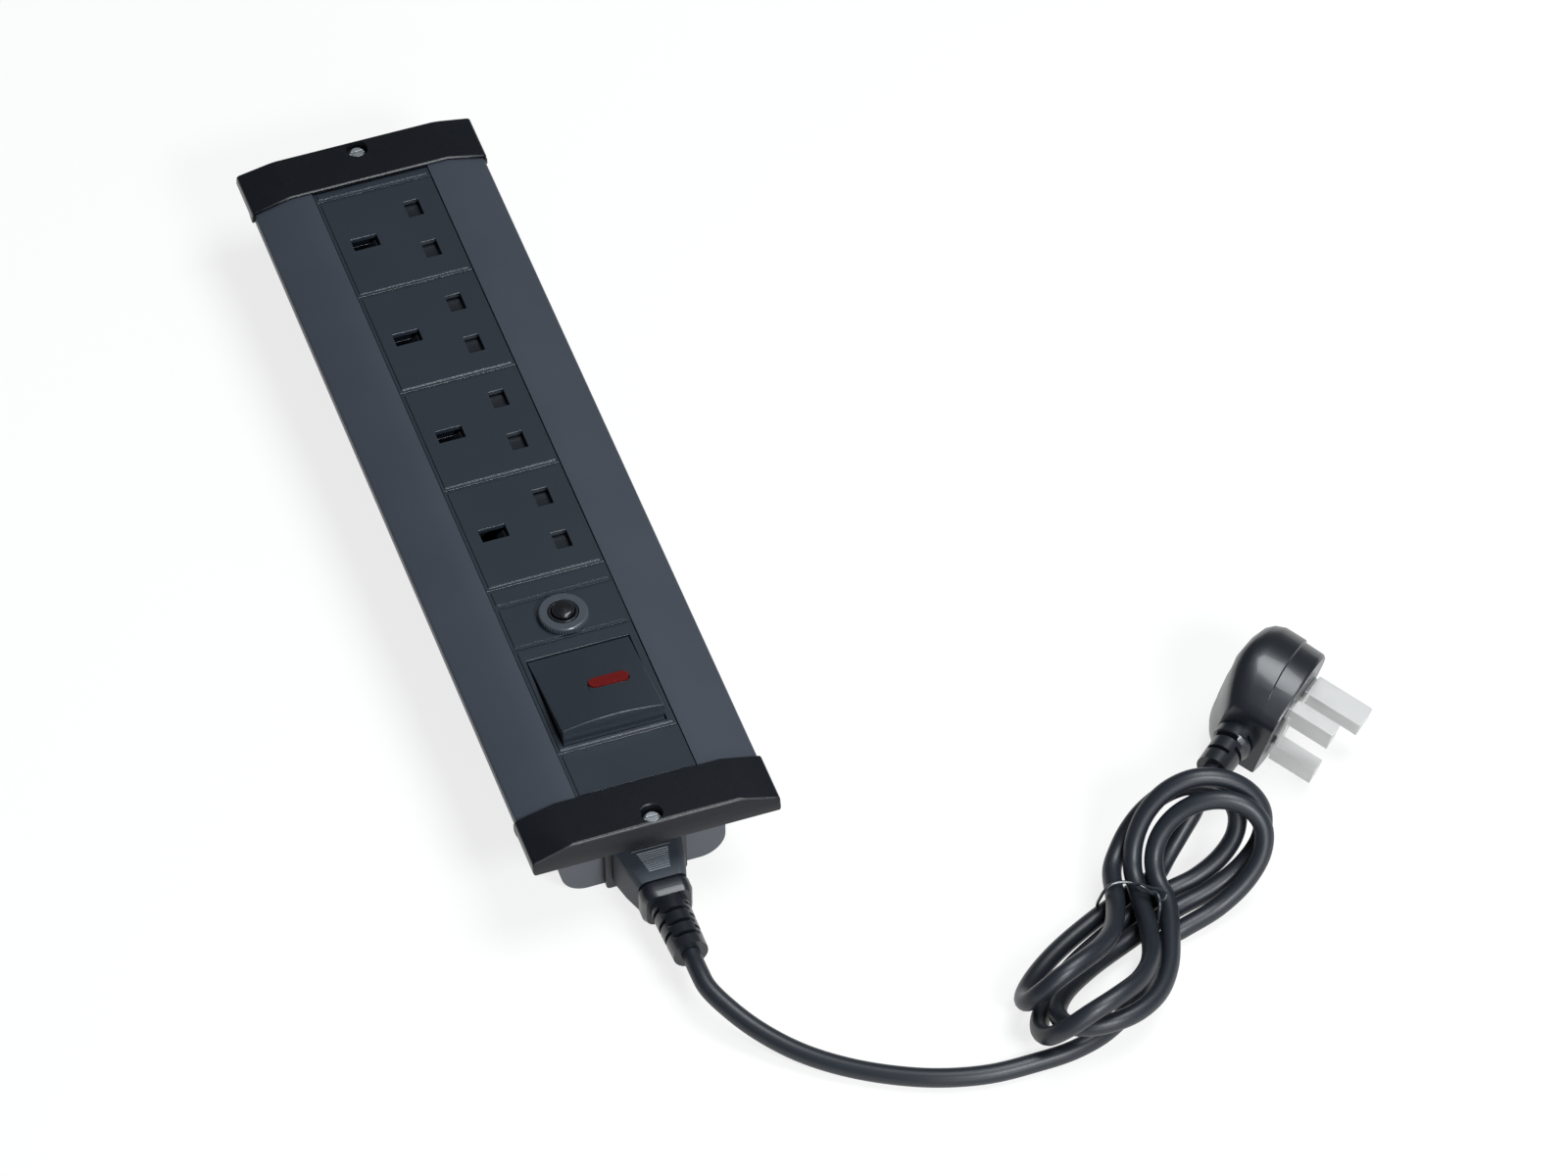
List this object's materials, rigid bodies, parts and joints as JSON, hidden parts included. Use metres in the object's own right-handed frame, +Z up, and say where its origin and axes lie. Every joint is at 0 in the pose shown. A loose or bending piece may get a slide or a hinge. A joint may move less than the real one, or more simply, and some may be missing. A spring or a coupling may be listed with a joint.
{
  "type": "desk power strip",
  "caption": "Desk power strip with a row of three-pin sockets, reset button, lit rocker switch and a detachable coiled lead with a covered plug.",
  "frame": {"origin": "middle of the strip, on the surface that the bottom of its trough rests on; the lead is not counted", "axes": "+X across the strip, from the earth slots towards the line slots; +Y along it, away from the inlet; +Z up"},
  "size_m": [0.3132, 0.4816, 0.0527],
  "materials": {
    "housing_paint": "satin dark grey paint",
    "cap_plastic": "fine-textured near-black",
    "plate_paint": "satin grey paint",
    "module_plastic": "satin dark grey",
    "inner_plastic": "matt off-white",
    "shutter_plastic": "smooth black",
    "black_plastic": "smooth black",
    "red_lens": "clear dark red, ribbed",
    "dark_steel": "blackened",
    "brass": "bright",
    "pin_metal": "nickel plated",
    "lead_plastic": "smooth black moulding",
    "cord_sheath": "smooth, glossy black",
    "tie_wire": "thin black coated wire",
    "fuse_ceramic": "glazed",
    "clear_plastic": "milky clear"
  },
  "bodies": {
    "strip": {"housing_extrusion": "housing_paint", "far_end_cap": "cap_plastic", "near_end_cap": "cap_plastic", "far_cap_screw": "dark_steel", "near_cap_screw": "dark_steel", "far_end_plate": "plate_paint", "near_end_plate": "plate_paint", "filler_strip_far": "module_plastic", "socket_1": "module_plastic", "socket_base_1": "inner_plastic", "contact_block_1": "inner_plastic", "socket_2": "module_plastic", "socket_base_2": "inner_plastic", "contact_block_2": "inner_plastic", "socket_3": "module_plastic", "socket_base_3": "inner_plastic", "contact_block_3": "inner_plastic", "socket_4": "module_plastic", "socket_base_4": "inner_plastic", "contact_block_4": "inner_plastic", "live_bus_bar": "brass", "neutral_bus_bar": "brass", "earth_bus_bar": "brass", "filler_strip_middle": "module_plastic", "breaker_plate": "module_plastic", "breaker_body": "black_plastic", "breaker_terminal_1": "brass", "breaker_terminal_2": "brass", "breaker_nut": "black_plastic", "switch_frame": "module_plastic", "blanking_plate": "module_plastic", "inlet_body": "black_plastic", "inlet_pin_live": "pin_metal", "inlet_pin_neutral": "pin_metal", "inlet_pin_earth": "pin_metal"},
    "shutter_1": {"shutter_1": "shutter_plastic"},
    "shutter_2": {"shutter_2": "shutter_plastic"},
    "shutter_3": {"shutter_3": "shutter_plastic"},
    "shutter_4": {"shutter_4": "shutter_plastic"},
    "rocker": {"switch_rocker": "module_plastic", "neon_lens": "red_lens"},
    "button": {"reset_button": "black_plastic"},
    "lead": {"connector_body": "lead_plastic", "cord_run": "cord_sheath", "cord_hank": "cord_sheath", "cord_tail": "cord_sheath", "twist_tie": "tie_wire", "plug_body": "lead_plastic", "plug_pin_live": "pin_metal", "plug_pin_neutral": "pin_metal", "plug_pin_earth": "pin_metal", "fuse_carrier": "lead_plastic", "fuse": "fuse_ceramic"},
    "cover": {"pin_cover": "clear_plastic"}
  },
  "joints": [
    {"name": "shutter_1_slide", "type": "slide", "parent": "strip", "child": "shutter_1", "axis": [1, 0, 0], "range_m": [0, 0.0053], "stiffness_N_per_m": 150, "springref_m": -0.004},
    {"name": "shutter_2_slide", "type": "slide", "parent": "strip", "child": "shutter_2", "axis": [1, 0, 0], "range_m": [0, 0.0053], "stiffness_N_per_m": 150, "springref_m": -0.004},
    {"name": "shutter_3_slide", "type": "slide", "parent": "strip", "child": "shutter_3", "axis": [1, 0, 0], "range_m": [0, 0.0053], "stiffness_N_per_m": 150, "springref_m": -0.004},
    {"name": "shutter_4_slide", "type": "slide", "parent": "strip", "child": "shutter_4", "axis": [1, 0, 0], "range_m": [0, 0.0053], "stiffness_N_per_m": 150, "springref_m": -0.004},
    {"name": "rocker_hinge", "type": "hinge", "parent": "strip", "child": "rocker", "pos_m": [0, -0.1115, 0.0395], "axis": [1, 0, 0], "range_deg": [0, 10]},
    {"name": "reset_button_slide", "type": "slide", "parent": "strip", "child": "button", "axis": [0, 0, 1], "range_m": [0, 0.003]},
    {"name": "lead_unplug", "type": "slide", "parent": "strip", "child": "lead", "axis": [0, -1, 0], "range_m": [0, 0.025]},
    {"name": "pin_cover_pull", "type": "slide", "parent": "lead", "child": "cover", "axis": [0.634, -0.7293, -0.2571], "range_m": [0, 0.024]}
  ]
}
